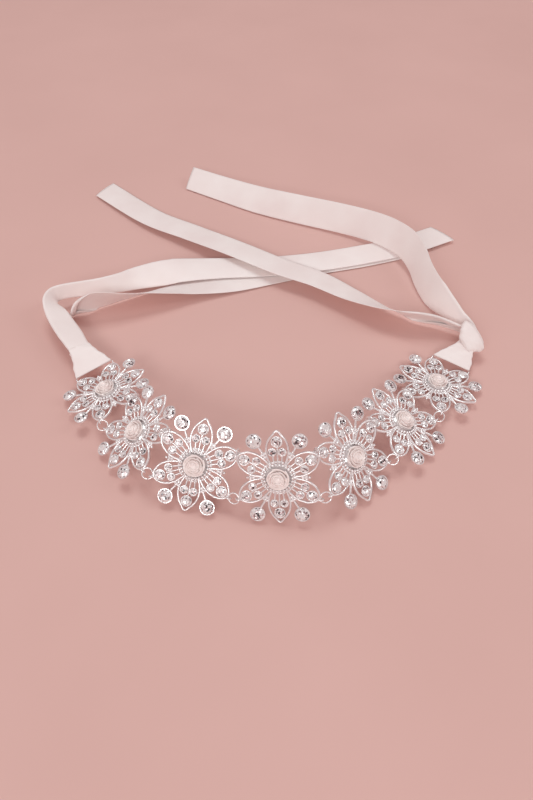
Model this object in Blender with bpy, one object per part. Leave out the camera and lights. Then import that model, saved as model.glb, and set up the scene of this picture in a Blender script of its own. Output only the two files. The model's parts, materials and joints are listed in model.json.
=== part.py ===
"""Flower crown: seven filigree flowers on jump rings, tied with satin ribbons.

The crown lies on a table in an arc that opens towards +Y, with its middle flower
leaning back. Units are metres and +Z is up. A flower's own frame has +X along the
chain towards the right, +Y towards the inner side of the arc and +Z out of its face.
"""

from math import cos, pi, radians, sin

import bmesh
import bpy
from mathutils import Matrix, Vector

MM = 0.001
CLEARANCE = 0.3 * MM
WELD = 0.001 * MM

# Flower frame: a thin cast plate with six pointed petals
PLATE = 0.7 * MM
PETALS = 6
PETAL_REACH = 21.8 * MM
PETAL_HALF_WIDTH = 4.9 * MM
PETAL_EDGE = ((0.56, 1.0), (0.66, 0.96), (0.76, 0.8), (0.86, 0.52))
PETAL_POINT = (0.95, 0.24)
VALLEY_RADIUS = 10.4 * MM
SLOT_START = 6.9 * MM
SLOT_LENGTH = 2.9 * MM
SLOT_HALF_ANGLE = 4.6
SLOT_ANGLES = (-14, 0, 14)

# Eyelets on the tips of the four side petals: round loops that stand across the plate
EYELET_INSET = 0.6 * MM
EYELET_REACH = PETAL_REACH - EYELET_INSET
EYELET_RADIUS = 1.25 * MM
EYELET_WIRE = 0.35 * MM
EYELET_STEPS = 10
EYELET_SIDES = 5
EYELET_PETALS = (30, 150, 210, 330)
TIP_HALF_WIDTH = 0.7 * MM

# Four round stones on stalks, between the petals
STALK_ANGLES = (60, 120, 240, 300)
STALK_ROOT = 12.3 * MM
STALK_HALF_WIDTH = 0.65 * MM
STONE_REACH = 20.1 * MM
STONE_RADIUS = 3.3 * MM
PAD_RIM = 0.6 * MM
PAD_MOUTH = 30
PAD_STEPS = 10
STONE_HEIGHT = 2.2 * MM
STONE_OUTLINE = ((0.7, 0.0), (1.0, 0.25), (1.0, 0.55), (0.62, 1.0))
STONE_SIDES = 10

# Resin rose in the middle
ROSE_RADIUS = 5.0 * MM
ROSE_HEIGHT = 4.8 * MM
ROSE_OUTLINE = ((0.86, 0.0), (1.0, 0.3), (0.92, 0.68), (0.62, 0.93))
ROSE_LOBES = 5
ROSE_LOBE_DEPTH = 0.07
ROSE_SIDES = 15

# Jump rings, two in each gap between neighbours
RING_RADIUS = 2.55 * MM
RING_WIRE = 0.3 * MM
RING_STEPS = 14
RING_SIDES = 6

# Ribbon
RIBBON_WIDTH = 19.0 * MM
RIBBON_THICKNESS = 0.8 * MM
ROUTE_STEPS = 3

# Rest pose. Heading, pitch and lean turn a flower about +Z, its width and its length.
# Turn is how far the rings in the gap follow the outer flower, where 0 is the inner one.
CENTRE = {"place": (5.3, -60.5), "heading": -4, "pitch": 6, "lean": 57}
RIGHT = (
    {"heading": 37, "pitch": -9, "lean": 44, "turn": 1.2},
    {"heading": 48, "pitch": -10, "lean": 21, "turn": 0.6},
    {"heading": 56, "pitch": -6, "lean": 1, "turn": 0.5},
)
LEFT = (
    {"heading": -15, "pitch": -5, "lean": 46, "turn": 0.2},
    {"heading": -51, "pitch": 9, "lean": 31, "turn": 1.0},
    {"heading": -60, "pitch": 9, "lean": 9, "turn": 1.1},
)

# Ribbon routes on the table, in millimetres: x, y, z, the roll about the route in
# degrees (0 lies flat, 90 stands on edge) and the share of the full width.
TAILS = {
    "right_ribbon_tail_1": (
        (111.5, 48, 5.8, 66, 0.4),
        (106, 51, 6.5, 66, 0.45),
        (98, 54, 7.5, 64, 0.6),
        (87, 56, 8.8, 57, 0.85),
        (78, 59, 8.5, 46, 1.0),
        (66, 66, 7.5, 33, 1.0),
        (50, 78, 6.6, 18, 1.0),
        (31, 92, 6.8, 10, 1.0),
        (9, 104, 6.6, 8, 1.0),
        (-20, 123, 6.4, 7, 1.0),
        (-51, 144, 4.4, 5, 1.0),
        (-81, 165, 2.4, 3, 1.0),
        (-119, 202, 0.9, 1, 1.0),
    ),
    "right_ribbon_tail_2": (
        (114.5, 52, 5.6, -72, 0.4),
        (111, 57, 6.4, -72, 0.5),
        (105, 64, 8.6, -71, 0.75),
        (99, 75, 9.8, -70, 1.0),
        (95, 90, 11.0, -69, 1.0),
        (93, 105, 12.4, -67, 1.0),
        (89, 118, 12.8, -64, 1.0),
        (80, 131, 12.0, -60, 1.0),
        (68, 142, 10.4, -57, 1.0),
        (49, 153, 9.0, -55, 1.0),
        (23, 165, 7.8, -48, 1.0),
        (-5, 179, 6.4, -38, 1.0),
        (-30, 195, 5.0, -28, 1.0),
        (-57, 212, 4.2, -23, 1.0),
    ),
    "left_ribbon_tail_1": (
        (-102.6, 30, 9.6, 6, 0.6),
        (-106, 35, 9.9, 8, 0.65),
        (-110, 41, 10.1, 10, 0.7),
        (-116, 50, 9.8, 14, 0.7),
        (-121.5, 59, 10.2, 22, 0.66),
        (-125.5, 66.5, 10.4, 46, 0.55),
        (-125, 73, 9.8, 74, 0.5),
        (-119, 77, 9.2, 80, 0.5),
        (-109, 79.5, 9, 78, 0.52),
        (-98, 82.5, 8.6, 72, 0.55),
        (-88, 87, 7.8, 56, 0.6),
        (-77, 93, 7.0, 36, 0.75),
        (-57, 100, 6.6, 14, 1.0),
        (-32, 106, 3.8, 4, 1.0),
        (-4, 109, 2.6, 1, 1.0),
        (28, 114, 2.1, 0, 1.0),
        (60, 122, 1.9, 0, 1.0),
        (91, 132, 1.9, 0, 1.0),
        (119, 146, 1.8, 0, 1.0),
    ),
    "left_ribbon_tail_2": (
        (-102.6, 30, 7.2, 4, 0.55),
        (-107, 36.5, 6.0, 2, 0.5),
        (-112, 44.5, 4.8, -2, 0.4),
        (-116, 51, 3.6, -8, 0.33),
        (-117.5, 56.5, 2.4, -14, 0.3),
        (-116.5, 61, 2.4, -30, 0.3),
        (-113.5, 63.8, 4.4, -60, 0.4),
        (-108.5, 65.8, 7.4, -75, 0.7),
        (-101, 68.5, 9.5, -68, 1.0),
        (-94.5, 70.5, 9.2, -62, 1.0),
        (-85.5, 73.5, 8.2, -50, 1.0),
        (-72, 78.7, 6.6, -38, 1.0),
        (-58, 84, 4.8, -24, 1.0),
        (-44, 89, 2.8, -12, 1.0),
        (-20, 96, 1.0, -2, 1.0),
        (9, 106, 0.6, 0, 1.0),
        (34, 114, 0.6, 0, 1.0),
        (61, 121, 0.6, 0, 1.0),
        (86, 129, 0.6, 0, 1.0),
    ),
}

# Ribbon loops over the end flowers' outer tips. Each section is its distance from the
# front edge, its rise above it, its width and its thickness, all in millimetres.
LOOPS = {
    "left_ribbon_loop": {
        "front": (-92.6, 16.1),
        "neck": (-101.0, 28.0),
        "sections": (
            (0, 0.0, 21, 0.8),
            (5, 0.5, 18, 1.2),
            (10, 1.2, 13, 2.6),
            (14, 1.6, 11, 3.6),
            (16, 1.6, 11, 3.6),
        ),
    },
    "right_ribbon_loop": {
        "front": (101.1, 23.7),
        "neck": (110.3, 33.4),
        "sections": (
            (0, 0.0, 21, 0.8),
            (5, 0.5, 18, 1.2),
            (10, 1.2, 12, 2.6),
            (13.5, 1.8, 9, 4.6),
            (17.5, 2.4, 13, 7.5),
            (22, 2.6, 14, 7.5),
            (25, 2.4, 7, 4.0),
        ),
    },
}

FINISHES = {
    "silver_plate": {"colour": (0.80, 0.79, 0.80), "roughness": 0.2, "metallic": 1.0},
    "rose_resin": {"colour": (0.90, 0.74, 0.72), "roughness": 0.4, "metallic": 0.0},
    "crystal": {"colour": (0.86, 0.86, 0.90), "roughness": 0.05, "metallic": 0.0},
    "ribbon_satin": {"colour": (0.88, 0.75, 0.73), "roughness": 0.45, "metallic": 0.0},
}


def clear_scene():
    for item in list(bpy.data.objects):
        bpy.data.objects.remove(item)


def make_materials():
    materials = {}
    for name, finish in FINISHES.items():
        material = bpy.data.materials.new(name)
        material.use_nodes = True
        shader = material.node_tree.nodes["Principled BSDF"]
        shader.inputs["Base Color"].default_value = (*finish["colour"], 1.0)
        shader.inputs["Roughness"].default_value = finish["roughness"]
        shader.inputs["Metallic"].default_value = finish["metallic"]
        materials[name] = material
    return materials


def polar(radius, angle):
    return Vector((radius * cos(radians(angle)), radius * sin(radians(angle))))


def around(centre, radius, start, end, steps):
    turn = (end - start) / steps
    return [centre + polar(radius, start + turn * k) for k in range(steps + 1)]


def turned(points, angle):
    rotation = Matrix.Rotation(radians(angle), 2)
    return [rotation @ point for point in points]


# The outline of one petal that points along +X, from its clockwise side round its tip
def petal_outline(with_eyelet):
    side = [Vector((r * PETAL_REACH, w * PETAL_HALF_WIDTH)) for r, w in PETAL_EDGE]
    if with_eyelet:
        end = EYELET_REACH - EYELET_RADIUS
        tip = [Vector((end, -TIP_HALF_WIDTH)), Vector((end, TIP_HALF_WIDTH))]
    else:
        point = Vector((PETAL_POINT[0] * PETAL_REACH, PETAL_POINT[1] * PETAL_HALF_WIDTH))
        tip = [Vector((point.x, -point.y)), Vector((PETAL_REACH, 0.0)), point]
    return [Vector((p.x, -p.y)) for p in side] + tip + side[::-1]


# A stalk along +X that ends in the round pad of its stone
def stalk_outline():
    pad = STONE_RADIUS - PAD_RIM
    neck = STONE_REACH - (pad**2 - STALK_HALF_WIDTH**2) ** 0.5
    root = Vector((STALK_ROOT, STALK_HALF_WIDTH))
    join = Vector((neck, STALK_HALF_WIDTH))
    mouth = 180 - PAD_MOUTH
    disc = around(Vector((STONE_REACH, 0.0)), pad, -mouth, mouth, PAD_STEPS)
    below = [Vector((root.x, -root.y)), Vector((join.x, -join.y))]
    return below + disc + [join, root]


def frame_outline():
    points = []
    pitch = 360 / PETALS
    for k in range(PETALS):
        angle = pitch * (k + 0.5)
        points += turned(petal_outline(angle in EYELET_PETALS), angle)
        valley = pitch * (k + 1)
        if valley in STALK_ANGLES:
            points += turned(stalk_outline(), valley)
        else:
            points.append(polar(VALLEY_RADIUS, valley))
    return points


def slot_outlines():
    slots = []
    pitch = 360 / PETALS
    end = SLOT_START + SLOT_LENGTH
    for k in range(PETALS):
        for offset in SLOT_ANGLES:
            low = pitch * (k + 0.5) + offset - SLOT_HALF_ANGLE
            high = low + 2 * SLOT_HALF_ANGLE
            corners = ((SLOT_START, low), (end, low), (end, high), (SLOT_START, high))
            slots.append([polar(radius, angle) for radius, angle in corners])
    return slots


def add_spline(curve, points):
    spline = curve.splines.new("POLY")
    spline.points.add(len(points) - 1)
    for target, point in zip(spline.points, points):
        target.co = (point.x, point.y, 0.0, 1.0)
    spline.use_cyclic_u = True


def add_object(name, data, material, place, parent=None):
    item = bpy.data.objects.new(name, data)
    item.data.materials.append(material)
    item.parent = parent
    item.matrix_basis = place
    bpy.context.scene.collection.objects.link(item)
    return item


# The plate is a filled curve, taken as a mesh so that the eyelets can be joined to it
def plate_mesh(name):
    curve = bpy.data.curves.new("plate_outline", "CURVE")
    curve.dimensions = "2D"
    curve.fill_mode = "BOTH"
    curve.extrude = PLATE / 2
    for points in [frame_outline()] + slot_outlines():
        add_spline(curve, points)
    guide = bpy.data.objects.new("plate_outline", curve)
    mesh = bmesh.new()
    mesh.from_mesh(guide.to_mesh())
    bmesh.ops.remove_doubles(mesh, verts=mesh.verts, dist=WELD)
    bpy.data.objects.remove(guide)
    return to_mesh(mesh, name)


def add_torus(mesh, place, radius, wire, steps, sides):
    rings = []
    for k in range(steps):
        turn = 2 * pi * k / steps
        ring = []
        for j in range(sides):
            reach = radius + wire * cos(2 * pi * j / sides)
            height = wire * sin(2 * pi * j / sides)
            corner = Vector((reach * cos(turn), reach * sin(turn), height))
            ring.append(mesh.verts.new(place @ corner))
        rings.append(ring)
    for low, high in zip(rings, rings[1:] + rings[:1]):
        join_rings(mesh, low, high)


def make_flower_frame(name, material, place):
    flower = add_object(name, plate_mesh(name), material, place)
    mesh = bmesh.new()
    for angle in EYELET_PETALS:
        seat = Matrix.Translation(polar(EYELET_REACH, angle).to_3d())
        stand = seat @ Matrix.Rotation(pi / 2, 4, "X")
        add_torus(mesh, stand, EYELET_RADIUS, EYELET_WIRE, EYELET_STEPS, EYELET_SIDES)
    eyelets = add_object(f"{name}_eyelets", to_mesh(mesh, "eyelets"), material, Matrix(), flower)
    eyelets.hide_render = True
    eyelets.display_type = "WIRE"
    join = flower.modifiers.new("eyelets", "BOOLEAN")
    join.operation = "UNION"
    join.object = eyelets
    return flower


# A turned solid about +Z: the outline's shares of radius and height, closed by two caps
def turned_solid(name, radius, height, outline, sides, lobes=0, depth=0.0):
    mesh = bmesh.new()
    rings = []
    for share, level in outline:
        ring = []
        for k in range(sides):
            angle = 360 * k / sides
            swell = 1 + depth * cos(radians(lobes * angle))
            point = polar(radius * share * swell, angle)
            ring.append(mesh.verts.new((point.x, point.y, height * level)))
        rings.append(ring)
    close_rings(mesh, rings)
    return to_mesh(mesh, name)


def join_rings(mesh, low, high):
    for k in range(len(low)):
        after = (k + 1) % len(low)
        mesh.faces.new((low[k], low[after], high[after], high[k]))


def close_rings(mesh, rings):
    for low, high in zip(rings, rings[1:]):
        join_rings(mesh, low, high)
    mesh.faces.new(rings[0][::-1])
    mesh.faces.new(rings[-1])


def to_mesh(mesh, name):
    bmesh.ops.recalc_face_normals(mesh, faces=mesh.faces)
    data = bpy.data.meshes.new(name)
    mesh.to_mesh(data)
    mesh.free()
    return data


def make_rose(flower, name, material):
    data = turned_solid(
        name, ROSE_RADIUS, ROSE_HEIGHT, ROSE_OUTLINE, ROSE_SIDES, ROSE_LOBES, ROSE_LOBE_DEPTH
    )
    rise = PLATE / 2 + CLEARANCE
    add_object(name, data, material, Matrix.Translation((0, 0, rise)), flower)


def make_stalk_stones(flower, name, material):
    rise = PLATE / 2 + CLEARANCE
    for k, angle in enumerate(STALK_ANGLES):
        node = f"{name}_stone_{k + 1}"
        data = turned_solid(node, STONE_RADIUS, STONE_HEIGHT, STONE_OUTLINE, STONE_SIDES)
        seat = polar(STONE_REACH, angle)
        place = Matrix.Translation((seat.x, seat.y, rise))
        add_object(node, data, material, place, flower)


def flower_axes(pose):
    heading = Matrix.Rotation(radians(pose["heading"]), 3, "Z")
    pitch = Matrix.Rotation(radians(-pose["pitch"]), 3, "Y")
    lean = Matrix.Rotation(radians(pose["lean"]), 3, "X")
    return heading @ pitch @ lean


def eyelet(axes, place, side, level):
    seat = polar(EYELET_REACH, EYELET_PETALS[0])
    return place + axes @ Vector((side * seat.x, level * seat.y, 0.0))


# The next flower along the chain, so far away that both rings of the gap fit its eyelets
def next_flower(axes, place, pose, side):
    outer = flower_axes(pose)
    seat = polar(EYELET_REACH, EYELET_PETALS[0])
    spread = outer.col[1] - axes.col[1]
    course = axes.col[0].lerp(outer.col[0], pose["turn"])
    course -= spread * (course.dot(spread) / spread.length_squared)
    slack = ((2 * RING_RADIUS) ** 2 - (seat.y * spread.length) ** 2) ** 0.5
    step = course.normalized() * slack
    step += (axes.col[0] + outer.col[0]) * seat.x
    return outer, place + side * step


def lowest(axes, place):
    reach = [polar(PETAL_REACH, 360 / PETALS * (k + 0.5)) for k in range(PETALS)]
    reach += [polar(STONE_REACH + STONE_RADIUS, angle) for angle in STALK_ANGLES]
    return min((place + axes @ point.to_3d()).z for point in reach)


def crown_poses():
    axes = flower_axes(CENTRE)
    place = Vector((CENTRE["place"][0] * MM, CENTRE["place"][1] * MM, 0.0))
    place.z = PLATE - lowest(axes, place)
    poses = {"centre": (axes, place)}
    for word, side, flowers in (("left", -1, LEFT), ("right", 1, RIGHT)):
        last = poses["centre"]
        for k, pose in enumerate(flowers):
            last = next_flower(*last, pose, side)
            poses[f"{word}_{k + 1}"] = last
    return poses


def make_ring(name, material, inner, outer, hinge):
    chord = (outer - inner).normalized()
    axis = chord.cross(hinge).normalized()
    turn = Matrix((chord, axis.cross(chord), axis)).transposed().to_4x4()
    mesh = bmesh.new()
    add_torus(mesh, Matrix(), RING_RADIUS, RING_WIRE, RING_STEPS, RING_SIDES)
    place = Matrix.Translation((inner + outer) / 2) @ turn
    add_object(name, to_mesh(mesh, name), material, place)


def make_rings(poses, material):
    for word, side in (("left", -1), ("right", 1)):
        chain = ["centre"] + [f"{word}_{k + 1}" for k in range(3)]
        for k, (near, far) in enumerate(zip(chain, chain[1:])):
            for spot, level in (("upper", 1), ("lower", -1)):
                inner = eyelet(*poses[near], side, level)
                outer = eyelet(*poses[far], -side, level)
                hinge = poses[near][0].col[1] + poses[far][0].col[1]
                make_ring(f"{word}_{k + 1}_ring_{spot}", material, inner, outer, hinge)


# A point of a smooth curve through four values, between the second and the third
def smooth(a, b, c, d, t):
    bend = (2 * a - 5 * b + 4 * c - d) * t * t + (3 * b - a - 3 * c + d) * t**3
    return b + ((c - a) * t + bend) / 2


def route_sections(route):
    points = [Vector(point) for point in route]
    guides = [2 * points[0] - points[1]] + points + [2 * points[-1] - points[-2]]
    samples = []
    for k in range(len(points) - 1):
        for j in range(ROUTE_STEPS):
            samples.append(smooth(*guides[k : k + 4], j / ROUTE_STEPS))
    return samples + [points[-1]]


def ribbon_section(mesh, centre, across, up, width, thickness):
    corners = []
    for a, b in ((-1, -1), (1, -1), (1, 1), (-1, 1)):
        corner = centre + across * (a * width / 2) + up * (b * thickness / 2)
        corners.append(mesh.verts.new(corner))
    return corners


def make_tail(name, route, drift, material):
    samples = route_sections([Vector(p) for p in route])
    mesh = bmesh.new()
    sections = []
    for k, sample in enumerate(samples):
        before = samples[max(k - 1, 0)]
        after = samples[min(k + 1, len(samples) - 1)]
        course = Vector(after[:3]) - Vector(before[:3])
        course.normalize()
        level = course.cross(Vector((0, 0, 1))).normalized()
        across = Matrix.Rotation(radians(sample[3]), 3, course) @ level
        up = across.cross(course)
        centre = Vector(sample[:3]) * MM + drift
        width = RIBBON_WIDTH * sample[4]
        sections.append(ribbon_section(mesh, centre, across, up, width, RIBBON_THICKNESS))
    close_rings(mesh, sections)
    add_object(name, to_mesh(mesh, name), material, Matrix())


# The end flower's two outer eyelets, each raised to where the loop lies on it
def loop_seats(flower, side):
    axes, place = flower
    lift = EYELET_RADIUS + EYELET_WIRE + CLEARANCE + RIBBON_THICKNESS / 2
    seat_rise = axes.col[2] * lift
    return [eyelet(axes, place, side, level) + seat_rise for level in (1, -1)]


# How far the loop's front is from where it stands in the routes
def loop_drift(loop, flower, side):
    upper, lower = loop_seats(flower, side)
    front = (upper + lower) / 2
    return Vector((front.x - loop["front"][0] * MM, front.y - loop["front"][1] * MM, 0.0))


def make_loop(name, loop, flower, side, material):
    upper, lower = loop_seats(flower, side)
    front = (upper + lower) / 2
    neck = Vector((loop["neck"][0] * MM, loop["neck"][1] * MM, front.z))
    neck += loop_drift(loop, flower, side)
    course = (neck - front).normalized()
    across = (upper - lower).normalized()
    mesh = bmesh.new()
    sections = []
    for reach, rise, width, thickness in loop["sections"]:
        centre = front + course * (reach * MM) + Vector((0, 0, rise * MM))
        up = across.cross(course)
        size = (width * MM, thickness * MM)
        sections.append(ribbon_section(mesh, centre, across, up, *size))
    close_rings(mesh, sections)
    add_object(name, to_mesh(mesh, name), material, Matrix())


# Everything moves so that the crown stands on z = 0 with its box's middle at the origin
def settle_on_origin():
    bpy.context.view_layer.update()
    graph = bpy.context.evaluated_depsgraph_get()
    corners = []
    for item in bpy.data.objects:
        shape = item.evaluated_get(graph).to_mesh()
        corners += [item.matrix_world @ vertex.co for vertex in shape.vertices]
    low = Vector([min(corner[k] for corner in corners) for k in range(3)])
    high = Vector([max(corner[k] for corner in corners) for k in range(3)])
    shift = Vector((-(low.x + high.x) / 2, -(low.y + high.y) / 2, -low.z))
    for item in bpy.data.objects:
        if item.parent is None:
            item.matrix_basis = Matrix.Translation(shift) @ item.matrix_basis


def main():
    clear_scene()
    materials = make_materials()
    poses = crown_poses()
    for word, (axes, place) in poses.items():
        name = f"{word}_flower"
        stand = Matrix.Translation(place) @ axes.to_4x4()
        flower = make_flower_frame(f"{name}_frame", materials["silver_plate"], stand)
        make_rose(flower, f"{name}_rose", materials["rose_resin"])
        make_stalk_stones(flower, name, materials["crystal"])
    make_rings(poses, materials["silver_plate"])
    satin = materials["ribbon_satin"]
    for word, side in (("left", -1), ("right", 1)):
        end_flower = poses[f"{word}_3"]
        loop_name = f"{word}_ribbon_loop"
        drift = loop_drift(LOOPS[loop_name], end_flower, side)
        for name, route in TAILS.items():
            if name.startswith(word):
                make_tail(name, route, drift, satin)
        make_loop(loop_name, LOOPS[loop_name], end_flower, side, satin)
    settle_on_origin()


main()
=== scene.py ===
import json
import random
from math import cos, pi, radians, sin, sqrt

import bmesh
import bpy
from mathutils import Matrix, Vector


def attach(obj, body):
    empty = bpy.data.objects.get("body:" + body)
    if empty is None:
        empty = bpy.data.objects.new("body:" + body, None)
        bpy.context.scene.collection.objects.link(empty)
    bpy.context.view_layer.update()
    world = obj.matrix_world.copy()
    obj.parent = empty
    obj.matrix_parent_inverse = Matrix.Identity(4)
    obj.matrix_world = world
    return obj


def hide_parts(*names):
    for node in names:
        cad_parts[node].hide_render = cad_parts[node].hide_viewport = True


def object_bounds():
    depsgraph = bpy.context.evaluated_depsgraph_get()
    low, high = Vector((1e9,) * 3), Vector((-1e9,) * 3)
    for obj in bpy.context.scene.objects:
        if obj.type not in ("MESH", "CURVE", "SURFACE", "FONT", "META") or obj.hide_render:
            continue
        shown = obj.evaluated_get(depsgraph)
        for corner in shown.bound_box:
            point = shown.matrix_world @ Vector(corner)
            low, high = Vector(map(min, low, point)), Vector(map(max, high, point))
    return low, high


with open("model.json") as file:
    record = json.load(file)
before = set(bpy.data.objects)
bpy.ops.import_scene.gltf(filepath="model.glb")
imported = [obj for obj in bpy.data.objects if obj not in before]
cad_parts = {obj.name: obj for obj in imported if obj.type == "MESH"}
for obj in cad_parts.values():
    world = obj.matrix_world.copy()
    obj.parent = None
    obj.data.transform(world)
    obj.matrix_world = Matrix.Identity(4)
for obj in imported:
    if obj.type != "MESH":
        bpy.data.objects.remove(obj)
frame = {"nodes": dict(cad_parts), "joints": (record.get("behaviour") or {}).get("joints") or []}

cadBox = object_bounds()
print("frame loaded")

mm = 0.001
weld = 0.01 * mm


# where things are, read from the frame
jointByName = {joint["name"]: joint for joint in frame["joints"]}


def meshCentre(node):  # middle of the node's surface, weighted by area
    total = Vector()
    area = 0.0
    mesh = frame["nodes"][node].data
    for face in mesh.polygons:
        total += face.center * face.area
        area += face.area
    return total / area


def flowerPlace(word):  # +X along the chain to the right, +Y to the inner side, +Z out of the face
    centre = meshCentre(word + "_flower_frame")
    side = "left" if word.startswith("left") else "right"
    name = "right_1_inner_swing" if word == "centre" else word + "_outer_swing"
    joint = jointByName[name]
    reach = Vector(joint["pos_m"]) - centre
    if side == "right" and word != "centre":
        reach = -reach
    alongWidth = Vector(joint["axis"]).normalized()
    alongChain = (reach - alongWidth * reach.dot(alongWidth)).normalized()
    turn = Matrix((alongChain, alongWidth, alongChain.cross(alongWidth))).transposed()
    return Matrix.Translation(centre) @ turn.to_4x4()


flowerWords = ["centre", "left_1", "left_2", "left_3", "right_1", "right_2", "right_3"]
places = {word: flowerPlace(word) for word in flowerWords}
centreSpot = Vector((5.3, -60.5, 0.0))  # the centre flower's place among the ribbon routes
halfPlate = 0.35
routeOrigin = places["centre"].translation - centreSpot * mm
routeOrigin.z = halfPlate * mm
print("flowers placed")
for word in flowerWords:
    print(word, [round(v * 1000, 1) for v in places[word].translation])


view = {"distance": 0.3272, "elevation": 50, "focal": 620, "imageHeight": 800, "sensor": 36, "near": 0.01}


def makeCamera():
    lift = radians(view["elevation"])
    data = bpy.data.cameras.new("camera")
    data.sensor_fit = "VERTICAL"
    data.sensor_height = view["sensor"]
    data.lens = view["focal"] * view["sensor"] / view["imageHeight"]
    data.clip_start = view["near"]
    camera = bpy.data.objects.new("camera", data)
    back = Vector((0, -cos(lift), sin(lift))) * view["distance"]
    camera.location = routeOrigin + back
    camera.rotation_euler = (pi / 2 - lift, 0, 0)
    bpy.context.scene.collection.objects.link(camera)
    bpy.context.scene.camera = camera


makeCamera()


lights = {
    "keyLight": {"place": (-0.2, 0.9, 2.0), "size": (1.0, 0.9), "power": 14.5, "colour": (0.86, 1.0, 1.0)},
    "sideLight": {"place": (1.5, 0.1, 1.1), "size": (0.5, 0.8), "power": 4.0, "colour": (0.92, 1.0, 1.0)},
    "frontLight": {"place": (-0.4, -1.6, 1.1), "size": (1.3, 0.6), "power": 15.5, "colour": (0.94, 1.0, 1.0)},
}


def makeLight(name, values):  # a soft panel that faces the middle of the crown
    data = bpy.data.lights.new(name, "AREA")
    data.shape = "RECTANGLE"
    data.size, data.size_y = values["size"]
    data.energy = values["power"]
    data.color = values["colour"]
    light = bpy.data.objects.new(name, data)
    light.location = values["place"]
    light.rotation_euler = (-light.location).to_track_quat("-Z", "Y").to_euler()
    bpy.context.scene.collection.objects.link(light)


for name, values in lights.items():
    makeLight(name, values)
print("camera and lights placed")


def linear(code):  # a colour written as six hex digits
    parts = [int(code[k : k + 2], 16) / 255 for k in (0, 2, 4)]
    return tuple(c / 12.92 if c <= 0.04045 else ((c + 0.055) / 1.055) ** 2.4 for c in parts) + (1.0,)


def newMaterial(name):
    material = bpy.data.materials.new(name)
    material.use_nodes = True
    return material, material.node_tree, material.node_tree.nodes["Principled BSDF"]


def addNode(tree, kind, **values):
    node = tree.nodes.new(kind)
    for key, value in values.items():
        if hasattr(node, key):
            setattr(node, key, value)
        else:
            node.inputs[key.replace("_", " ").title()].default_value = value
    return node


def ramp(tree, source, stops):
    node = tree.nodes.new("ShaderNodeValToRGB")
    band = node.color_ramp
    while len(band.elements) < len(stops):
        band.elements.new(0.5)
    for element, (position, colour) in zip(band.elements, stops):
        element.position = position
        element.color = colour
    tree.links.new(source, node.inputs["Fac"])
    return node.outputs["Color"]


def grey(value):
    return (value, value, value, 1.0)


def bump(tree, shader, height, strength, distance):
    node = tree.nodes.new("ShaderNodeBump")
    node.inputs["Strength"].default_value = strength
    node.inputs["Distance"].default_value = distance
    tree.links.new(height, node.inputs["Height"])
    tree.links.new(node.outputs["Normal"], shader.inputs["Normal"])


studio = {
    "sky": ((0.0, "F2CFCB"), (0.3, "F0CCC8"), (0.62, "FFDCDC"), (1.0, "FFE4E4")),
    "strength": 0.42,
    "floorSize": 3.0,
    "floorDrop": 0.2,
    "floorTones": ((0.3, "DDB4AC"), (0.7, "E1B8B0")),
    "floorRough": 0.75,
}


def tones(tree, source, stops):  # a ramp between colours written as hex digits
    return ramp(tree, source, [(position, linear(code)) for position, code in stops])


def cloudTexture(tree, scale, detail):  # soft noise on the piece's own coordinates
    place = addNode(tree, "ShaderNodeTexCoord")
    noise = addNode(tree, "ShaderNodeTexNoise", scale=scale, detail=detail)
    tree.links.new(place.outputs["Object"], noise.inputs["Vector"])
    return noise.outputs["Fac"]


def makeWorld():  # pale light all round, a little brighter overhead
    world = bpy.data.worlds.new("studio")
    world.use_nodes = True
    tree = world.node_tree
    back = tree.nodes["Background"]
    way = addNode(tree, "ShaderNodeTexCoord")
    split = addNode(tree, "ShaderNodeSeparateXYZ")
    tree.links.new(way.outputs["Generated"], split.inputs["Vector"])
    tree.links.new(tones(tree, split.outputs["Z"], studio["sky"]), back.inputs["Color"])
    back.inputs["Strength"].default_value = studio["strength"]
    bpy.context.scene.world = world


def floorMaterial():
    material, tree, shader = newMaterial("paleFloor")
    noise = cloudTexture(tree, 9.0, 3.0)
    tree.links.new(tones(tree, noise, studio["floorTones"]), shader.inputs["Base Color"])
    shader.inputs["Roughness"].default_value = studio["floorRough"]
    return material


silverFinish = {
    "grain": (420.0, 3.0),
    "tones": ((0.3, "F2EEEE"), (0.7, "FFFDFD")),
    "rough": ((0.35, grey(0.12)), (0.65, grey(0.26))),
    "metallic": 0.45,
    "bump": (0.3, 0.0002),
}


def silverMaterial():
    material, tree, shader = newMaterial("castSilver")
    noise = cloudTexture(tree, *silverFinish["grain"])
    tree.links.new(tones(tree, noise, silverFinish["tones"]), shader.inputs["Base Color"])
    tree.links.new(ramp(tree, noise, silverFinish["rough"]), shader.inputs["Roughness"])
    shader.inputs["Metallic"].default_value = silverFinish["metallic"]
    bump(tree, shader, noise, *silverFinish["bump"])
    return material


crystalFinish = {
    "cells": 1300.0,
    "blend": 0.5,
    # painted glints and painted dark reflections: near black and grey reflections, a pink reflection of the
    # surroundings, white highlights
    "tones": ((0.0, "1E1B1E"), (0.27, "4A4448"), (0.35, "C9A6A6"), (0.42, "EFE8E9"), (0.52, "FFFFFF")),
    "metallic": 0.3,
    "rough": 0.07,
    "coat": (0.8, 0.02),
    "bump": (1.0, 0.6),
}


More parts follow.
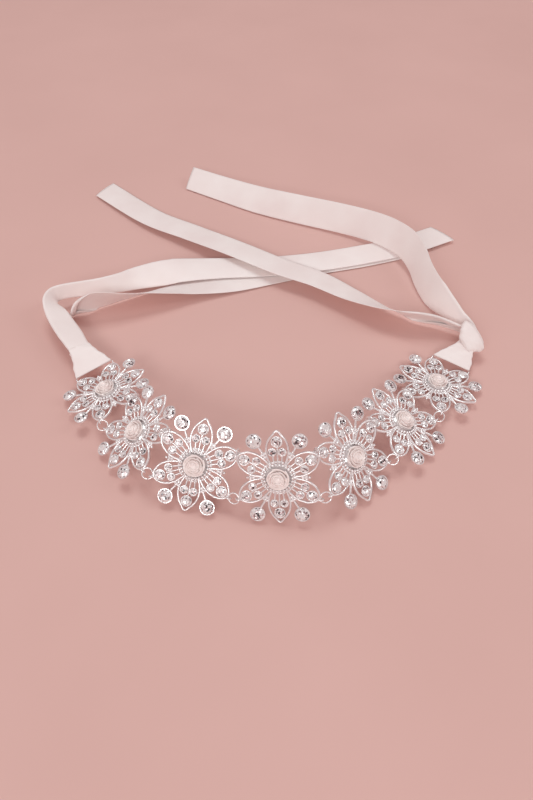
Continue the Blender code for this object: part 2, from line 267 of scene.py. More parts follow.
def crystalMaterial():  # foil-backed glass: painted glints and painted dark reflections, a grey for each stone face mixed with cell greys, stand in the base colour for its sparkle
    material, tree, shader = newMaterial("foiledCrystal")
    place = addNode(tree, "ShaderNodeTexCoord")
    # painted glint greys, one for each stone face, mixed with cell greys into the base colour
    facetGlint = addNode(tree, "ShaderNodeAttribute", attribute_name="facetGlint")
    cells = addNode(tree, "ShaderNodeTexVoronoi", scale=crystalFinish["cells"])
    tree.links.new(place.outputs["Object"], cells.inputs["Vector"])
    split = addNode(tree, "ShaderNodeSeparateColor")
    tree.links.new(cells.outputs["Color"], split.inputs["Color"])
    blend = addNode(tree, "ShaderNodeMix", data_type="FLOAT")
    blend.inputs["Factor"].default_value = crystalFinish["blend"]
    tree.links.new(facetGlint.outputs["Fac"], blend.inputs[2])
    tree.links.new(split.outputs["Red"], blend.inputs[3])
    tree.links.new(tones(tree, blend.outputs[0], crystalFinish["tones"]), shader.inputs["Base Color"])
    coat, coatRough = crystalFinish["coat"]
    shader.inputs["Metallic"].default_value = crystalFinish["metallic"]
    shader.inputs["Roughness"].default_value = crystalFinish["rough"]
    shader.inputs["Coat Weight"].default_value = coat
    shader.inputs["Coat Roughness"].default_value = coatRough
    tilt = addNode(tree, "ShaderNodeVectorMath", operation="SUBTRACT")  # each cell slopes its own way
    tree.links.new(cells.outputs["Color"], tilt.inputs[0])
    tilt.inputs[1].default_value = (0.5, 0.5, 0.5)
    local = addNode(tree, "ShaderNodeVectorMath", operation="SUBTRACT")
    tree.links.new(place.outputs["Object"], local.inputs[0])
    tree.links.new(cells.outputs["Position"], local.inputs[1])
    slope = addNode(tree, "ShaderNodeVectorMath", operation="DOT_PRODUCT")
    tree.links.new(tilt.outputs["Vector"], slope.inputs[0])
    tree.links.new(local.outputs["Vector"], slope.inputs[1])
    bump(tree, shader, slope.outputs["Value"], *crystalFinish["bump"])
    return material


resinFinish = {
    "cloud": (160.0, 2.0),
    "tones": ((0.3, "FBEFEC"), (0.7, "FFF8F5")),
    "rough": 0.38,
    "coat": 0.15,
    "bump": (0.05, 0.0002),
}


def roseMaterial():
    material, tree, shader = newMaterial("roseResin")
    noise = cloudTexture(tree, *resinFinish["cloud"])
    tree.links.new(tones(tree, noise, resinFinish["tones"]), shader.inputs["Base Color"])
    shader.inputs["Roughness"].default_value = resinFinish["rough"]
    shader.inputs["Coat Weight"].default_value = resinFinish["coat"]
    bump(tree, shader, noise, *resinFinish["bump"])
    return material


satinFinish = {
    "weft": 900.0,
    "warp": 620.0,
    "cloud": 45.0,
    "tones": ((0.3, "F6EAE7"), (0.7, "FBF3F0")),
    "rough": ((0.3, grey(0.42)), (0.7, grey(0.52))),
    "sheen": (0.35, 0.4),
    "specular": 0.45,
    "bump": (0.2, 0.00005),
}


def satinMaterial():  # the UV map runs across and along the ribbon, in metres
    material, tree, shader = newMaterial("blushSatin")
    cloth = addNode(tree, "ShaderNodeUVMap", uv_map="cloth")
    weft = addNode(tree, "ShaderNodeTexWave", bands_direction="Y", scale=satinFinish["weft"], distortion=0.6)
    warp = addNode(tree, "ShaderNodeTexWave", bands_direction="X", scale=satinFinish["warp"], distortion=0.4)
    cloud = addNode(tree, "ShaderNodeTexNoise", scale=satinFinish["cloud"], detail=2.0)
    for texture in (weft, warp, cloud):
        tree.links.new(cloth.outputs["UV"], texture.inputs["Vector"])
    weave = addNode(tree, "ShaderNodeMath", operation="ADD")
    tree.links.new(weft.outputs["Fac"], weave.inputs[0])
    tree.links.new(warp.outputs["Fac"], weave.inputs[1])
    tree.links.new(tones(tree, cloud.outputs["Fac"], satinFinish["tones"]), shader.inputs["Base Color"])
    tree.links.new(ramp(tree, cloud.outputs["Fac"], satinFinish["rough"]), shader.inputs["Roughness"])
    sheen, sheenRough = satinFinish["sheen"]
    shader.inputs["Sheen Weight"].default_value = sheen
    shader.inputs["Sheen Roughness"].default_value = sheenRough
    shader.inputs["Specular IOR Level"].default_value = satinFinish["specular"]
    bump(tree, shader, weave.outputs["Value"], *satinFinish["bump"])
    return material


makeWorld()
bpy.context.scene.view_settings.view_transform = "Standard"

silver = silverMaterial()
crystal = crystalMaterial()
roseResin = roseMaterial()
satin = satinMaterial()
print("materials made")


def makeFloor():
    mesh = bmesh.new()
    bmesh.ops.create_grid(mesh, x_segments=1, y_segments=1, size=studio["floorSize"])
    data = bpy.data.meshes.new("floor")
    mesh.to_mesh(data)
    mesh.free()
    floor = bpy.data.objects.new("floor", data)
    floor.location.z = cadBox[0][2] - studio["floorDrop"] * mm
    data.materials.append(floorMaterial())
    bpy.context.scene.collection.objects.link(floor)


makeFloor()


def newPiece(name, data, body, finish, *materials):
    for material in materials:
        data.materials.append(material)
    piece = bpy.data.objects.new(name, data)
    bpy.context.scene.collection.objects.link(piece)
    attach(piece, body)
    return piece


def finishMesh(mesh, name, place, smooth=True):  # puts the piece in its place in its own mesh
    bmesh.ops.transform(mesh, matrix=place, verts=mesh.verts)
    data = bpy.data.meshes.new(name)
    for face in mesh.faces:
        face.smooth = smooth
    mesh.to_mesh(data)
    mesh.free()
    return data


def copyInto(mesh, source, matrix, slot=0):  # adds a copy of another bmesh
    data = bpy.data.meshes.new("copy")
    source.to_mesh(data)
    data.transform(matrix)
    first = len(mesh.faces)
    mesh.from_mesh(data)
    bpy.data.meshes.remove(data)
    mesh.faces.ensure_lookup_table()
    for face in mesh.faces[first:]:
        face.material_index = slot


def wires(paths, radius, sides=2):  # round wires through points, with closed ends
    curve = bpy.data.curves.new("wires", "CURVE")
    curve.dimensions = "3D"
    curve.bevel_depth = radius
    curve.bevel_resolution = sides
    curve.use_fill_caps = True
    curve.resolution_u = 4
    for path in paths:
        spline = curve.splines.new("BEZIER")
        spline.bezier_points.add(len(path) - 1)
        for knot, point in zip(spline.bezier_points, path):
            knot.co = Vector(point) * mm
            knot.handle_left_type = "AUTO"
            knot.handle_right_type = "AUTO"
    guide = bpy.data.objects.new("wires", curve)
    data = bpy.data.meshes.new_from_object(guide)
    mesh = bmesh.new()
    mesh.from_mesh(data)
    bpy.data.objects.remove(guide)
    bpy.data.curves.remove(curve)
    bpy.data.meshes.remove(data)
    return mesh


def turnAt(angle, reach=0.0, rise=0.0):
    spin = Matrix.Rotation(radians(angle), 4, "Z")
    return spin @ Matrix.Translation((reach * mm, 0, rise * mm))


# a flower in its own frame, in millimetres and degrees, with the chain running along X

petal = {
    "angles": (30, 90, 150, 210, 270, 330),
    "rim": ((5.6, 2.9), (8.6, 4.15), (11.8, 4.85), (14.4, 4.75), (17.6, 3.65), (20.0, 1.8)),
    "tip": 21.7,
    "sideTip": 20.3,
    "rimWire": 0.5,
    "rimHeight": 1.5,
    "ribWire": 0.42,
    "ribStart": 5.4,
    "ribEnd": 10.9,
    "ribs": ((1.35, 2.2), (0.0, 0.0), (-1.35, -2.2)),
    "bigStone": (17.0, 0.0, 2.45),
    "smallStones": ((12.2, 2.25, 1.8), (12.2, -2.25, 1.8)),
    "stoneRise": 0.6,
    "wall": 0.16,
    "cupDepth": 0.7,
    "centreRib": 3.4,
    "facetSeed": 3,
    "stoneTurn": 0.37,
}
cup = {"foot": 0.55, "lip": 0.35, "mouth": 0.93, "floor": 0.9, "floorDrop": 0.05, "steps": 18}
eyelet = {"angles": (30, 150, 210, 330), "reach": 21.2, "radius": 1.25, "wire": 0.35}
knot = {"angles": (0, 60, 120, 180, 240, 300), "beads": ((11.0, 0, 0.9), (12.5, 0.75, 0.75),
        (12.5, -0.75, 0.75), (13.8, 0, 0.65), (12.3, 0, 0.85))}
stalk = {"angles": (60, 120, 240, 300), "start": 12.5, "end": 17.6, "wire": 0.55,
         "stoneReach": 20.1, "stone": 3.4, "stoneRise": 0.9, "wall": 0.12, "cupDepth": 1.5}
collar = {"rings": ((26, 6.3, 0.9, 0.72), (30, 7.5, 0.35, 0.62)), "plate": 6.2, "plateHeight": 0.5}


def bead(radius):
    mesh = bmesh.new()
    bmesh.ops.create_uvsphere(mesh, u_segments=8, v_segments=5, radius=radius * mm)
    return mesh


def torus(radius, wire, steps, sides, gap=0.0):  # a round ring about +Z, open by a gap in degrees
    mesh = bmesh.new()
    bmesh.ops.create_circle(mesh, cap_ends=gap > 0, segments=sides, radius=wire * mm)
    bmesh.ops.rotate(mesh, verts=mesh.verts, matrix=Matrix.Rotation(pi / 2, 3, "X"), cent=(0, 0, 0))
    bmesh.ops.translate(mesh, verts=mesh.verts, vec=(radius * mm, 0, 0))
    bmesh.ops.spin(mesh, geom=list(mesh.verts) + list(mesh.edges) + list(mesh.faces), axis=(0, 0, 1),
                   cent=(0, 0, 0), steps=steps, angle=radians(360 - gap), use_merge=gap == 0)
    bmesh.ops.recalc_face_normals(mesh, faces=mesh.faces)
    return mesh


def stoneCup(radius, wall, depth):  # an open cup with a thin lip that holds one stone
    mesh = bmesh.new()
    rim = radius + wall
    outline = ((radius * cup["foot"], -depth), (rim, 0), (rim, cup["lip"]),
               (radius * cup["mouth"], cup["lip"]), (radius * cup["floor"], -cup["floorDrop"]))
    verts = [mesh.verts.new((reach * mm, 0, height * mm)) for reach, height in outline]
    edges = [mesh.edges.new(pair) for pair in zip(verts, verts[1:])]
    bmesh.ops.spin(mesh, geom=verts + edges, axis=(0, 0, 1), cent=(0, 0, 0), steps=cup["steps"],
                   angle=2 * pi, use_merge=True)
    bmesh.ops.remove_doubles(mesh, verts=mesh.verts, dist=weld)
    bmesh.ops.holes_fill(mesh, edges=mesh.edges)
    bmesh.ops.recalc_face_normals(mesh, faces=mesh.faces)
    return mesh


cutStone = {"table": 0.5, "tableHeight": 0.42, "crown": 0.76, "crownHeight": 0.26, "skirt": 0.15}


def newest(result, kind):  # the verts or edges that an extrusion has made
    return [item for item in result["geom"] if isinstance(item, kind)]


def openEdges(edges):
    return [edge for edge in edges if len(edge.link_faces) == 1]


def brilliant(radius):  # a round stone with a table, star and crown facets over a short skirt
    mesh = bmesh.new()
    size = radius * mm
    halfStep = Matrix.Rotation(pi / 8, 3, "Z")
    bmesh.ops.create_circle(mesh, cap_ends=True, segments=8, radius=size * cutStone["table"])
    bmesh.ops.translate(mesh, vec=(0, 0, size * cutStone["tableHeight"]), verts=mesh.verts)
    table = mesh.faces[:][0]
    crown = bmesh.ops.extrude_edge_only(mesh, edges=list(table.edges))
    for vert in newest(crown, bmesh.types.BMVert):
        flat = Vector((vert.co.x, vert.co.y, 0)) * (cutStone["crown"] / cutStone["table"])
        vert.co = halfStep @ flat + Vector((0, 0, size * cutStone["crownHeight"]))
    girdle = bmesh.ops.extrude_edge_only(mesh, edges=openEdges(newest(crown, bmesh.types.BMEdge)))
    for vert in newest(girdle, bmesh.types.BMVert):
        vert.co = halfStep @ (Vector((vert.co.x, vert.co.y, 0)).normalized() * size)
    bmesh.ops.subdivide_edges(mesh, edges=openEdges(newest(girdle, bmesh.types.BMEdge)), cuts=1)
    for vert in mesh.verts:
        if abs(vert.co.z) < weld:
            vert.co = Vector((vert.co.x, vert.co.y, 0)).normalized() * size
    bmesh.ops.triangulate(mesh, faces=[face for face in mesh.faces if len(face.verts) < 8])
    skirt = bmesh.ops.extrude_edge_only(mesh, edges=openEdges(mesh.edges))
    drop = Vector((0, 0, -size * cutStone["skirt"]))
    bmesh.ops.translate(mesh, vec=drop, verts=newest(skirt, bmesh.types.BMVert))
    bmesh.ops.holes_fill(mesh, edges=mesh.edges)
    bmesh.ops.recalc_face_normals(mesh, faces=mesh.faces)
    return mesh


def petalSpots():  # every petal stone: the matrix of its seat and its radius
    spots = []
    for angle in petal["angles"]:
        for reach, side, radius in (petal["bigStone"],) + petal["smallStones"]:
            seat = turnAt(angle) @ Matrix.Translation((reach * mm, side * mm, petal["stoneRise"] * mm))
            spots.append((seat, radius))
    return spots


def petalRims():
    paths = []
    for angle in petal["angles"]:
        tip = petal["sideTip"] if angle in eyelet["angles"] else petal["tip"]
        side = [point for point in petal["rim"] if point[0] < tip - 1]
        path = [(x, -y, 0) for x, y in side] + [(tip, 0, 0)] + [(x, y, 0) for x, y in side[::-1]]
        paths.append([(turnAt(angle) @ Vector(point)) for point in path])
    return paths


def petalRibs():
    paths = []
    for angle in petal["angles"]:
        for start, end in petal["ribs"]:
            reach = petal["ribEnd"] + (petal["centreRib"] if start == 0 else 0.0)
            middle = (petal["ribStart"] + reach) / 2
            path = ((petal["ribStart"], start, 0.25), (middle, (start + end) * 0.52, 0.1), (reach, end, 0))
            paths.append([turnAt(angle) @ Vector(point) for point in path])
    return paths


def castFrame():  # the whole silver casting of one flower, at the origin
    mesh = bmesh.new()
    tall = Matrix.Scale(petal["rimHeight"], 4, Vector((0, 0, 1)))
    copyInto(mesh, wires(petalRims(), petal["rimWire"] * mm), tall)
    copyInto(mesh, wires(petalRibs(), petal["ribWire"] * mm, 1), Matrix())
    stalks = [[turnAt(a) @ Vector((stalk[end], 0, 0)) for end in ("start", "end")] for a in stalk["angles"]]
    copyInto(mesh, wires(stalks, stalk["wire"] * mm), Matrix())
    for seat, radius in petalSpots():
        copyInto(mesh, stoneCup(radius, petal["wall"], petal["cupDepth"]), seat)
    for angle in knot["angles"]:
        for reach, side, radius in knot["beads"]:
            copyInto(mesh, bead(radius), turnAt(angle) @ Matrix.Translation((reach * mm, side * mm, 0)))
    for count, reach, rise, radius in collar["rings"]:
        for k in range(count):
            copyInto(mesh, bead(radius), turnAt(360 * k / count, reach, rise))
    plate = bmesh.new()
    bmesh.ops.create_cone(plate, cap_ends=True, segments=36, radius1=collar["plate"] * mm,
                          radius2=collar["plate"] * mm, depth=collar["plateHeight"] * mm)
    copyInto(mesh, plate, Matrix())
    for angle in eyelet["angles"]:
        ring = torus(eyelet["radius"], eyelet["wire"], 20, 8)
        copyInto(mesh, ring, turnAt(angle, eyelet["reach"]) @ Matrix.Rotation(radians(-angle), 4, "Z")
                 @ Matrix.Rotation(pi / 2, 4, "X"))
    return mesh


castMesh = castFrame()
stoneMesh = {radius: brilliant(radius) for _, radius in petalSpots()}
stoneMesh[stalk["stone"]] = brilliant(stalk["stone"])


def makeCasting(word):
    mesh = castMesh.copy()
    data = finishMesh(mesh, word + "Casting", places[word])
    piece = newPiece(word + "Casting", data, word + "_flower", "silver_plate", silver)
    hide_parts(word + "_flower_frame")


facetOrder = Vector((0.54, 0.32, 0.78))  # facets draw their painted glint greys in order along this line


def shadeFacets(data, seed):  # each stone face gets a painted glint grey of its own, from dark reflection to white highlight
    dice = random.Random(seed)
    shade = data.color_attributes.new("facetGlint", "FLOAT_COLOR", "CORNER")
    for face in sorted(data.polygons, key=lambda face: face.center.dot(facetOrder)):
        value = dice.random() ** 0.8
        for k in face.loop_indices:
            shade.data[k].color = grey(value)


def makePetalStones(word):
    mesh = bmesh.new()
    for k, (seat, radius) in enumerate(petalSpots()):
        copyInto(mesh, stoneMesh[radius], seat @ Matrix.Rotation(petal["stoneTurn"] * k, 4, "Z"))
    data = finishMesh(mesh, word + "PetalStones", places[word], smooth=False)
    # painted glints and dark reflections on the petal stones
    shadeFacets(data, petal["facetSeed"])
    newPiece(word + "PetalStones", data, word + "_flower", "crystal", crystal)


def makeStalkStones(word):
    for k, angle in enumerate(stalk["angles"]):
        name = word + "StalkStone" + str(k + 1)
        seat = turnAt(angle, stalk["stoneReach"], stalk["stoneRise"])
        mesh = bmesh.new()
        copyInto(mesh, stoneMesh[stalk["stone"]], seat @ Matrix.Rotation(0.5 * k + 0.2, 4, "Z"))
        copyInto(mesh, stoneCup(stalk["stone"], stalk["wall"], stalk["cupDepth"]), seat, 1)
        data = finishMesh(mesh, name, places[word], smooth=False)
        # painted glints and dark reflections on the stalk stone
        shadeFacets(data, 11 * k + len(word))
        piece = newPiece(name, data, word + "_flower", "crystal", crystal, silver)
        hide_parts(word + "_flower_stone_" + str(k + 1))


rose = {
    "rise": 0.3,
    "wall": 0.42,
    "layers": (
        {"petals": 5, "start": 0.0, "base": 3.9, "lip": 4.9, "top": 2.7, "flare": 0.3, "dip": 0.9},
        {"petals": 5, "start": 0.6, "base": 3.3, "lip": 3.9, "top": 3.8, "flare": 0.25, "dip": 0.8},
        {"petals": 4, "start": 0.2, "base": 2.6, "lip": 2.75, "top": 4.6, "flare": 0.2, "dip": 0.6},
        {"petals": 3, "start": 0.9, "base": 1.8, "lip": 1.55, "top": 5.1, "flare": 0.1, "dip": 0.5},
    ),
    "core": (3.7, 4.5),
    "sink": 0.3,
    "lap": 1.4,
    "skew": 0.3,
}


def rosePetal(mesh, layer, angle):  # one cupped petal that tucks under its neighbour on one side
    leaf = bmesh.new()
    bmesh.ops.create_grid(leaf, x_segments=8, y_segments=6, size=1.0)
    half = pi / layer["petals"] * rose["lap"]
    for vert in leaf.verts:
        a, b = vert.co.x, (vert.co.y + 1) / 2
        turn = angle + a * half
        reach = layer["base"] + (layer["lip"] - layer["base"]) * b**2.2
        reach += layer["flare"] * b**6 + rose["skew"] * a
        height = rose["rise"] + (layer["top"] - rose["rise"] - layer["dip"] * a * a) * b
        vert.co = Vector((reach * cos(turn), reach * sin(turn), height)) * mm
    leaf.normal_update()
    bmesh.ops.solidify(leaf, geom=list(leaf.faces), thickness=rose["wall"] * mm)
    copyInto(mesh, leaf, Matrix())


def makeRose(word):
    mesh = bmesh.new()
    bmesh.ops.create_uvsphere(mesh, u_segments=24, v_segments=12, radius=mm)
    for vert in mesh.verts:
        x, y, z = vert.co
        reach, top = rose["core"]
        flat = max(z, 0) * (top - rose["rise"]) + rose["rise"] * mm
        vert.co = Vector((x * reach, y * reach, flat - (rose["sink"] * mm if z < 0 else 0)))
    for layer in rose["layers"]:
        for k in range(layer["petals"]):
            rosePetal(mesh, layer, layer["start"] + 2 * pi * k / layer["petals"])
    bmesh.ops.recalc_face_normals(mesh, faces=mesh.faces)
    data = finishMesh(mesh, word + "Rose", places[word])
    piece = newPiece(word + "Rose", data, word + "_flower", "rose_resin", roseResin)
    smooth = piece.modifiers.new("smooth", "SUBSURF")
    smooth.levels = 1
    smooth.render_levels = 1
    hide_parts(word + "_flower_rose")


for word in flowerWords:
    makeCasting(word)
    makePetalStones(word)
    makeStalkStones(word)
    makeRose(word)
print("flowers made")


jumpRing = {"radius": 2.55, "wire": 0.32, "gap": 4.0, "steps": 44, "sides": 10, "turn": (0.8, 1.1)}


def ringPlace(node):  # the CAD ring's middle and its axis, the way in which it is thinnest
    data = frame["nodes"][node].data
    centre = meshCentre(node)
    normal = Vector()
    reference = None
    for face in data.polygons:
        arm = face.center - centre
        if reference is None:
            reference = arm
        side = reference.cross(arm)
        normal += side if side.dot(normal) >= 0 else -side
    spin = normal.normalized().to_track_quat("Z", "X").to_matrix().to_4x4()
    return Matrix.Translation(centre) @ spin


def makeJumpRing(side, gap, spot):
    node = side + "_" + str(gap) + "_ring_" + spot
    name = side + "JumpRing" + str(gap) + spot.capitalize()
    ring = torus(jumpRing["radius"], jumpRing["wire"], jumpRing["steps"], jumpRing["sides"], jumpRing["gap"])
    first, each = jumpRing["turn"]  # where the ring's cut stands
    turn = Matrix.Rotation(first + each * gap, 4, "Z")
    data = finishMesh(ring, name, ringPlace(node) @ turn)
    piece = newPiece(name, data, side + "_" + str(gap) + "_rings", "silver_plate", silver)
    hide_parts(node)


for side in ("left", "right"):
    for gap in (1, 2, 3):
        for spot in ("upper", "lower"):
            makeJumpRing(side, gap, spot)
print("jump rings made")


# each route is the line that the ribbon's middle follows, in metres, then its roll and
# how far it is spread out, as a share of its width

ribbon = {"width": 0.019, "thickness": 0.00028, "step": 0.0016, "across": 32, "crown": 0.0006,
          "foldRadius": 0.0006, "endSkew": 0.0025, "skewRows": 6}
tails = {
    "right_ribbon_tail_1": (
        (0.1135, 0.0385, 0.0088, 66, 0.3), (0.113, 0.0435, 0.0078, 66, 0.35),
        (0.1112, 0.048, 0.0062, 66, 0.4), (0.106, 0.051, 0.0065, 66, 0.45),
        (0.098, 0.054, 0.0075, 64, 0.6), (0.087, 0.056, 0.0088, 57, 0.85),
        (0.078, 0.059, 0.0085, 46, 1.0), (0.066, 0.066, 0.0075, 33, 1.0), (0.05, 0.078, 0.0066, 18, 1.0),
        (0.031, 0.092, 0.0068, 10, 1.0), (0.009, 0.104, 0.0066, 8, 1.0), (-0.02, 0.123, 0.0064, 7, 1.0),
        (-0.051, 0.144, 0.0044, 5, 1.0), (-0.081, 0.165, 0.0024, 3, 1.0),
        (-0.119, 0.202, 0.0009, 1, 1.0),
    ),
    "right_ribbon_tail_2": (
        (0.115, 0.0385, 0.0088, -72, 0.3), (0.1158, 0.044, 0.0078, -72, 0.34),
        (0.1148, 0.052, 0.0058, -72, 0.4), (0.111, 0.057, 0.0064, -72, 0.5),
        (0.105, 0.064, 0.0086, -71, 0.75), (0.099, 0.075, 0.0098, -70, 1.0),
        (0.095, 0.09, 0.011, -69, 1.0), (0.093, 0.105, 0.0124, -67, 1.0),
        (0.089, 0.118, 0.0128, -64, 1.0), (0.08, 0.131, 0.012, -60, 1.0),
        (0.068, 0.142, 0.0104, -57, 1.0), (0.049, 0.153, 0.009, -55, 1.0),
        (0.023, 0.165, 0.0078, -48, 1.0), (-0.005, 0.179, 0.0064, -38, 1.0),
        (-0.03, 0.195, 0.005, -28, 1.0), (-0.057, 0.212, 0.0042, -23, 1.0),
    ),
    "left_ribbon_tail_1": (
        (-0.1026, 0.03, 0.0096, 6, 0.6), (-0.106, 0.035, 0.0099, 8, 0.65),
        (-0.11, 0.041, 0.0101, 10, 0.7), (-0.116, 0.05, 0.0098, 14, 0.7),
        (-0.1215, 0.059, 0.0102, 22, 0.66), (-0.1255, 0.0665, 0.0104, 46, 0.55),
        (-0.125, 0.073, 0.0098, 74, 0.5), (-0.119, 0.077, 0.0092, 80, 0.5),
        (-0.109, 0.0795, 0.009, 78, 0.52), (-0.098, 0.0825, 0.0086, 72, 0.55),
        (-0.088, 0.087, 0.0078, 56, 0.6), (-0.077, 0.093, 0.007, 36, 0.75),
        (-0.057, 0.1, 0.0066, 14, 1.0), (-0.032, 0.106, 0.0038, 4, 1.0), (-0.004, 0.109, 0.0026, 1, 1.0),
        (0.028, 0.114, 0.0021, 0, 1.0), (0.06, 0.122, 0.0019, 0, 1.0), (0.091, 0.132, 0.0019, 0, 1.0),
        (0.119, 0.146, 0.0018, 0, 1.0),
    ),
    "left_ribbon_tail_2": (
        (-0.1026, 0.03, 0.0072, 4, 0.55), (-0.107, 0.0365, 0.006, 2, 0.5),
        (-0.112, 0.0445, 0.0048, -2, 0.4), (-0.116, 0.051, 0.0036, -8, 0.33),
        (-0.1175, 0.0565, 0.0024, -14, 0.3), (-0.1165, 0.061, 0.0024, -30, 0.3),
        (-0.1135, 0.0638, 0.0044, -60, 0.4), (-0.1085, 0.0658, 0.0074, -75, 0.7),
        (-0.101, 0.0685, 0.0095, -68, 1.0), (-0.0945, 0.0705, 0.0092, -62, 1.0),
        (-0.0855, 0.0735, 0.0082, -50, 1.0), (-0.072, 0.0787, 0.0066, -38, 1.0),
        (-0.058, 0.084, 0.0048, -24, 1.0), (-0.044, 0.089, 0.0028, -12, 1.0),
        (-0.02, 0.096, 0.001, -2, 1.0), (0.009, 0.106, 0.0006, 0, 1.0), (0.034, 0.114, 0.0006, 0, 1.0),
        (0.061, 0.121, 0.0006, 0, 1.0), (0.086, 0.129, 0.0006, 0, 1.0),
    ),
}


def routePoints(route):  # a smooth line through the route, one row of values each step
    points = [Vector(row) for row in route]
    ends = [2 * points[0] - points[1]] + points + [2 * points[-1] - points[-2]]
    rows = []
    for k in range(len(points) - 1):
        a, b, c, d = ends[k : k + 4]
        length = (Vector(c[:3]) - Vector(b[:3])).length
        count = max(3, round(length / ribbon["step"]))
        for j in range(count):
            t = j / count
            curve = (2 * a - 5 * b + 4 * c - d) * t * t + (3 * b - a - 3 * c + d) * t**3
            rows.append(b + ((c - a) * t + curve) / 2)
    return rows + [points[-1]]


def rollAxes(rows, k):  # the ribbon's way across and its upper side at one row
    before, after = rows[max(k - 1, 0)], rows[min(k + 1, len(rows) - 1)]
    course = (Vector(after[:3]) - Vector(before[:3])).normalized()
    level = course.cross(Vector((0, 0, 1))).normalized()
    across = Matrix.Rotation(radians(rows[k][3]), 3, course) @ level
    return course, across, across.cross(course)


def tuck(share, a):  # the cloth with both edges folded under it: place across and height
    half = ribbon["width"] / 2
    turn = ribbon["foldRadius"]
    run = abs(a) * half
    flat = share * half - turn
    if run <= flat or share > 0.995:
        return a * half, 0.0
    bend = min((run - flat) / turn, pi)
    back = max(run - flat - pi * turn, 0.0)
    reach = max(flat + turn * sin(bend) - back, 0.0002)
    return (reach if a > 0 else -reach), -turn * (1 - cos(bend))


def markCloth(data, grid, width, length):  # the UV map runs in metres along the cloth
    layer = data.uv_layers.new(name="cloth")
    for loop in data.loops:
        a, b = grid[loop.vertex_index]
        layer.data[loop.index].uv = (a * width / 2, b * length)


def clothGrid(name, across, along, place, width, length):  # a grid shaped by place(a, b)
    mesh = bmesh.new()
    bmesh.ops.create_grid(mesh, x_segments=across, y_segments=along, size=1.0)
    mesh.verts.index_update()
    grid = [(vert.co.x, (vert.co.y + 1) / 2) for vert in mesh.verts]
    for vert, (a, b) in zip(mesh.verts, grid):
        vert.co = place(a, b)
    data = finishMesh(mesh, name, Matrix.Translation(routeOrigin))
    markCloth(data, grid, width, length)
    return data


def giveThickness(piece):
    wall = piece.modifiers.new("wall", "SOLIDIFY")
    wall.thickness = ribbon["thickness"]
    wall.offset = 0


def makeTail(name, route):  # one tie tail, its cut end on a slant
    rows = routePoints(route)
    axes = [rollAxes(rows, k) for k in range(len(rows))]
    length = sum((Vector(b[:3]) - Vector(a[:3])).length for a, b in zip(rows, rows[1:]))
    last = len(rows) - 1

    def place(a, b):
        k = round(b * last)
        course, across, up = axes[k]
        share = rows[k][4]
        reach, fold = tuck(share, a)
        rise = ribbon["crown"] * (0.4 - (reach / ribbon["width"] * 2) ** 2) + fold
        skew = ribbon["endSkew"] * a * max(0.0, 1 - (last - k) / ribbon["skewRows"])
        return Vector(rows[k][:3]) + across * reach + up * rise + course * skew

    data = clothGrid(name + "Cloth", ribbon["across"], last, place, ribbon["width"], length)
    side = name.split("_")[0]
    piece = newPiece(name + "Cloth", data, side + "_3_flower", "ribbon_satin", satin)
    giveThickness(piece)
    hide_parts(name)
    print(name, round(length * 1000), "mm long")


for name, route in tails.items():
    makeTail(name, route)


loops = {
    "left": {"neck": (-0.101, 0.028), "reach": (0, 4, 8, 12, 17.5), "spread": (20.5, 18.6, 14.4, 12.2, 11.4),
             "gap": (0.4, 1.1, 1.8, 2.4, 2.6), "rise": (0, 0.4, 0.9, 1.3, 1.5), "ends": "left_ribbon_tail_1"},
    "right": {"neck": (0.1103, 0.0334), "reach": (0, 4, 8, 12, 15.5), "spread": (20.5, 18.6, 14.2, 10.4, 9.6),
              "gap": (0.4, 1.1, 2.0, 3.0, 3.4), "rise": (0, 0.4, 1.0, 1.6, 2.0), "ends": None},
}
loopForm = {"fullWidth": 20.6, "flatShare": 0.97, "crease": 0.5, "dome": 0.9, "fold": 0.8, "columns": 40,
            "rows": 64, "overlap": 0.5, "topRise": 0.02, "topDome": 0.24, "gapStart": 0.25, "gapRun": 3}
loopClearance = 0.7  # from the eyelet's wire to the middle of the cloth
loopLift = eyelet["radius"] + eyelet["wire"] + loopClearance


def between(table, reach, key):  # smooth value of one measure at a reach, in millimetres
    marks = table["reach"]
    for k in range(len(marks) - 1):
        if reach <= marks[k + 1]:
            t = (reach - marks[k]) / (marks[k + 1] - marks[k])
            t = t * t * (3 - 2 * t)
            return table[key][k] * (1 - t) + table[key][k + 1] * t
    return table[key][-1]


def loopAxes(side):
    place = places[side + "_3"]
    sign = -1 if side == "left" else 1
    axes = place.to_3x3()
    seats = [place.translation + axes @ (Vector((sign * eyelet["reach"] * cos(pi / 6),
             level * eyelet["reach"] * 0.5, loopLift)) * mm) - routeOrigin for level in (1, -1)]
    front = (seats[0] + seats[1]) / 2
    neck = Vector(loops[side]["neck"]).to_3d()
    neck.z = front.z
    course = (neck - front).normalized()
    across = (seats[0] - seats[1]).normalized()
    up = across.cross(course)
    return front, course, across, up if up.z > 0 else -up


def loopEnd(side):  # where the loop's upper layer runs into the tail, if it does
    name = loops[side]["ends"]
    if name is None:
        return None
    rows = routePoints(tails[name])
    _, across, up = rollAxes(rows, 0)
    return Vector(rows[0][:3]), across, up


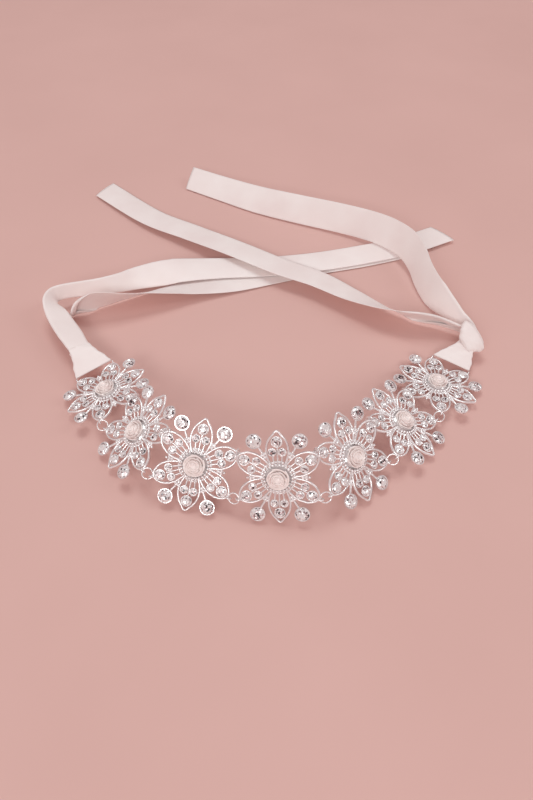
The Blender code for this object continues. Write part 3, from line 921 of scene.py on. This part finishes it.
def makeLoop(side):
    table = loops[side]
    front, course, across, up = loopAxes(side)
    end = table["reach"][-1]
    meet = loopEnd(side)

    def place(a, b):  # b runs from the knot under the loop to its front and back over it
        reach = abs(b * 2 - 1) * end
        over = 1 if b > 0.5 else -1
        width = between(table, reach, "spread")
        share = min(width / loopForm["fullWidth"], 1.0)
        opening = min(1.0, loopForm["gapStart"] + reach / loopForm["gapRun"])
        gap = between(table, reach, "gap") * opening
        aside, fold = tuck(share, a) if share < loopForm["flatShare"] else (a * ribbon["width"] / 2, 0.0)
        aside = aside * width * mm / ribbon["width"] / share
        crease = loopForm["crease"] * sin(7 * a + 0.5 * reach) * (1 - share)
        dome = loopForm["dome"] * (1 - a * a) * reach / end
        centre = front + course * (reach * mm) + Vector((0, 0, between(table, reach, "rise") * mm))
        height = over * (gap / 2 + dome + crease + fold / mm * loopForm["fold"])
        if meet is None:
            return centre + across * aside + up * (height * mm)
        spot, way, tilt = meet
        way = way if way.dot(across) > 0 else -way
        tilt = tilt if tilt.z > 0 else -tilt
        t = (reach / end) ** 2
        top = loopForm["topRise"] + loopForm["topDome"] * (1 - a * a) if over > 0 else height - gap
        spot = centre.lerp(spot + course * (loopForm["overlap"] * mm), t)
        height = height * (1 - t) + top * t
        return spot + across.lerp(way, t) * aside + up.lerp(tilt, t) * (height * mm)

    name = side + "LoopCloth"
    length = 2 * end * mm
    data = clothGrid(name, loopForm["columns"], loopForm["rows"], place, ribbon["width"], length)
    piece = newPiece(name, data, side + "_3_flower", "ribbon_satin", satin)
    giveThickness(piece)
    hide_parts(side + "_ribbon_loop")


# the turn of ribbon drawn tight at the right side: a soft closed pouch over the neck, in millimetres
knotTurn = {
    "start": (108.6, 32.6, 8.6),
    "course": (0.86, 0.48, 0.06),
    "across": (-0.45, 0.8, 0.38),
    "reach": (0, 1.5, 4, 6.5, 9, 11, 12.2),
    "spread": (9.4, 11.5, 15.5, 18.6, 19.0, 14.0, 5.0),
    "gap": (3.0, 4.6, 5.4, 6.0, 5.6, 4.0, 1.0),
    "slide": (0.0, 0.4, 1.2, 1.6, 2.2, 2.6, 2.6),
    "fold": 0.3,
    "sides": 44,
    "rows": 30,
}


def makeKnotTurn():
    course = Vector(knotTurn["course"]).normalized()
    across = Vector(knotTurn["across"])
    across = (across - course * across.dot(course)).normalized()
    up = course.cross(across)
    mesh = bmesh.new()
    bmesh.ops.create_cone(mesh, cap_ends=True, segments=knotTurn["sides"], radius1=1, radius2=1, depth=1)
    sides = [edge for edge in mesh.edges if abs(edge.verts[0].co.z - edge.verts[1].co.z) > 0.5]
    bmesh.ops.subdivide_edges(mesh, edges=sides, cuts=knotTurn["rows"])
    last = knotTurn["reach"][-1]
    for vert in mesh.verts:
        along = vert.co.z + 0.5
        reach = last * along
        turn = Vector((vert.co.x, vert.co.y))
        folds = sin(3.5 * turn.x - 0.5 * reach) + 0.6 * sin(8 * turn.x + 0.9 * reach)
        tall = between(knotTurn, reach, "gap") / 2 + knotTurn["fold"] * folds * (1 - abs(2 * along - 1))
        wide = between(knotTurn, reach, "spread") / 2
        offset = across * (turn.x * wide + between(knotTurn, reach, "slide")) + up * (turn.y * tall)
        vert.co = (Vector(knotTurn["start"]) + course * reach + offset) * mm
    bmesh.ops.recalc_face_normals(mesh, faces=mesh.faces)
    data = finishMesh(mesh, "rightKnotTurn", Matrix.Translation(routeOrigin))
    layer = data.uv_layers.new(name="cloth")
    for loop in data.loops:
        spot = data.vertices[loop.vertex_index].co
        layer.data[loop.index].uv = (spot.dot(across), spot.dot(course))
    piece = newPiece("rightKnotTurn", data, "right_3_flower", "ribbon_satin", satin)


makeKnotTurn()
makeLoop("left")
makeLoop("right")
print("ribbons made")
